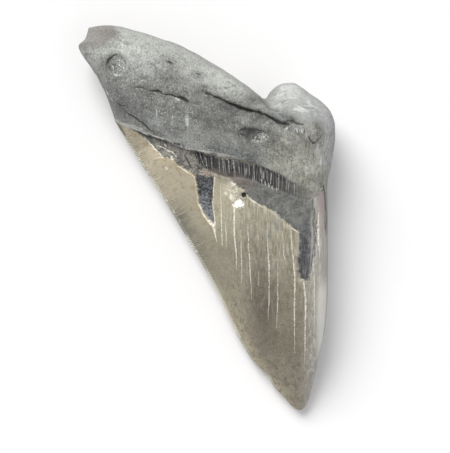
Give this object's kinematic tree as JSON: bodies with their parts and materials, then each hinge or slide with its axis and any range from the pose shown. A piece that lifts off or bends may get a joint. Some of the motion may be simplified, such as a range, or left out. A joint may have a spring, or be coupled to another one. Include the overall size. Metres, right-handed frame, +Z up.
{
  "type": "megalodon tooth",
  "caption": "Fossil megalodon tooth, broken lengthwise and worn, with a thick root, a dark band and a serrated crown.",
  "frame": {"origin": "bottom centre of the bounding box, on the surface that the tooth lies on", "axes": "+Y from the crown's point towards the root, +Z up out of the domed inner face, +X towards the broken side"},
  "size_m": [0.0812, 0.123, 0.0275],
  "materials": {
    "fossil_tooth": "satin mineralised enamel and matt root"
  },
  "bodies": {
    "root": {"tooth": "fossil_tooth"}
  },
  "joints": []
}
